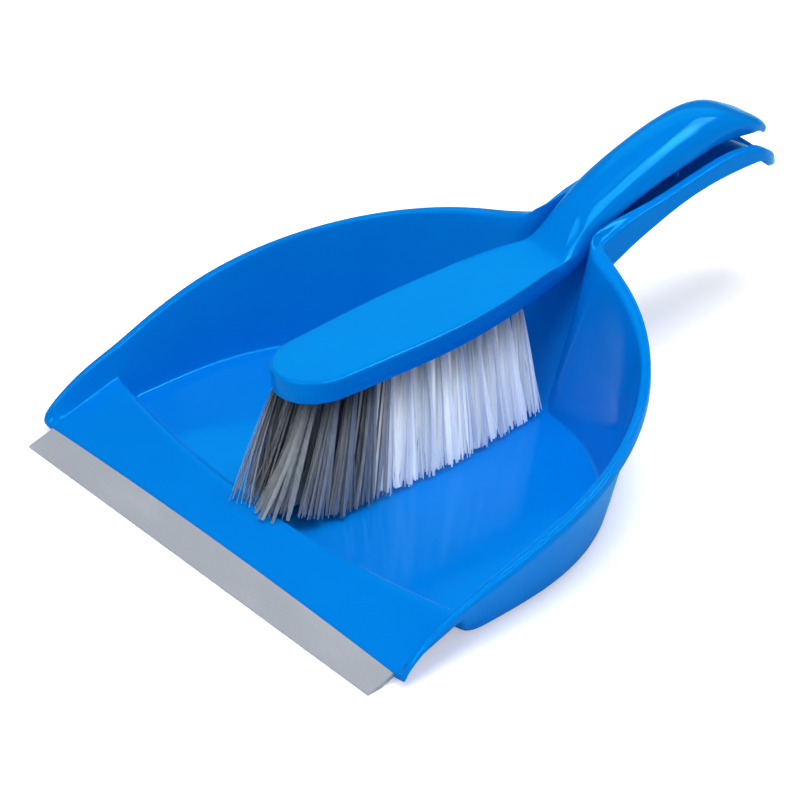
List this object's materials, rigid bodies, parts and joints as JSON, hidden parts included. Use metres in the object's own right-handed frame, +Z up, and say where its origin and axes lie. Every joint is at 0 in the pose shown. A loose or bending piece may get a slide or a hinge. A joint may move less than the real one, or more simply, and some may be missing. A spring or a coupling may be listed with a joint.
{
  "type": "dustpan and brush set",
  "caption": "Blue plastic dust pan with a grey rubber lip, and a hand brush with grey and white bristle tufts that rests in it, handle over handle.",
  "frame": {"origin": "on the ground, under the middle of the pan's length and width", "axes": "+X across the pan to the right seen from the lip, +Y from the lip towards the tip of the handle, +Z up"},
  "size_m": [0.235, 0.3322, 0.1055],
  "materials": {
    "pan_plastic": "satin",
    "brush_plastic": "satin",
    "lip_rubber": "matte",
    "tuft_grey": "matte",
    "tuft_white": "satin",
    "anchor_steel": "satin"
  },
  "bodies": {
    "pan": {"pan_body": "pan_plastic", "rubber_lip": "lip_rubber"},
    "brush": {"brush_block": "brush_plastic", "tuft_anchors": "anchor_steel", "tuft_grey_01": "tuft_grey", "tuft_grey_02": "tuft_grey", "tuft_grey_03": "tuft_grey", "tuft_grey_04": "tuft_grey", "tuft_grey_05": "tuft_grey", "tuft_grey_06": "tuft_grey", "tuft_grey_07": "tuft_grey", "tuft_grey_08": "tuft_grey", "tuft_grey_09": "tuft_grey", "tuft_grey_10": "tuft_grey", "tuft_grey_11": "tuft_grey", "tuft_grey_12": "tuft_grey", "tuft_grey_13": "tuft_grey", "tuft_grey_14": "tuft_grey", "tuft_white_01": "tuft_white", "tuft_white_02": "tuft_white", "tuft_white_03": "tuft_white", "tuft_white_04": "tuft_white", "tuft_white_05": "tuft_white", "tuft_white_06": "tuft_white", "tuft_white_07": "tuft_white", "tuft_white_08": "tuft_white", "tuft_white_09": "tuft_white", "tuft_white_10": "tuft_white", "tuft_white_11": "tuft_white", "tuft_white_12": "tuft_white", "tuft_white_13": "tuft_white", "tuft_white_14": "tuft_white", "tuft_white_15": "tuft_white", "tuft_white_16": "tuft_white", "tuft_white_17": "tuft_white", "tuft_white_18": "tuft_white", "tuft_white_19": "tuft_white", "tuft_white_20": "tuft_white", "tuft_white_21": "tuft_white", "tuft_white_22": "tuft_white", "tuft_white_23": "tuft_white", "tuft_white_24": "tuft_white", "tuft_white_25": "tuft_white", "tuft_white_26": "tuft_white", "tuft_white_27": "tuft_white", "tuft_white_28": "tuft_white", "tuft_white_29": "tuft_white", "tuft_white_30": "tuft_white", "tuft_white_31": "tuft_white", "tuft_white_32": "tuft_white", "tuft_white_33": "tuft_white", "tuft_white_34": "tuft_white", "tuft_white_35": "tuft_white", "tuft_white_36": "tuft_white"}
  },
  "joints": [
    {"name": "brush_lift", "type": "slide", "parent": "pan", "child": "brush", "axis": [0, 0, 1], "range_m": [0, 0.15]}
  ]
}
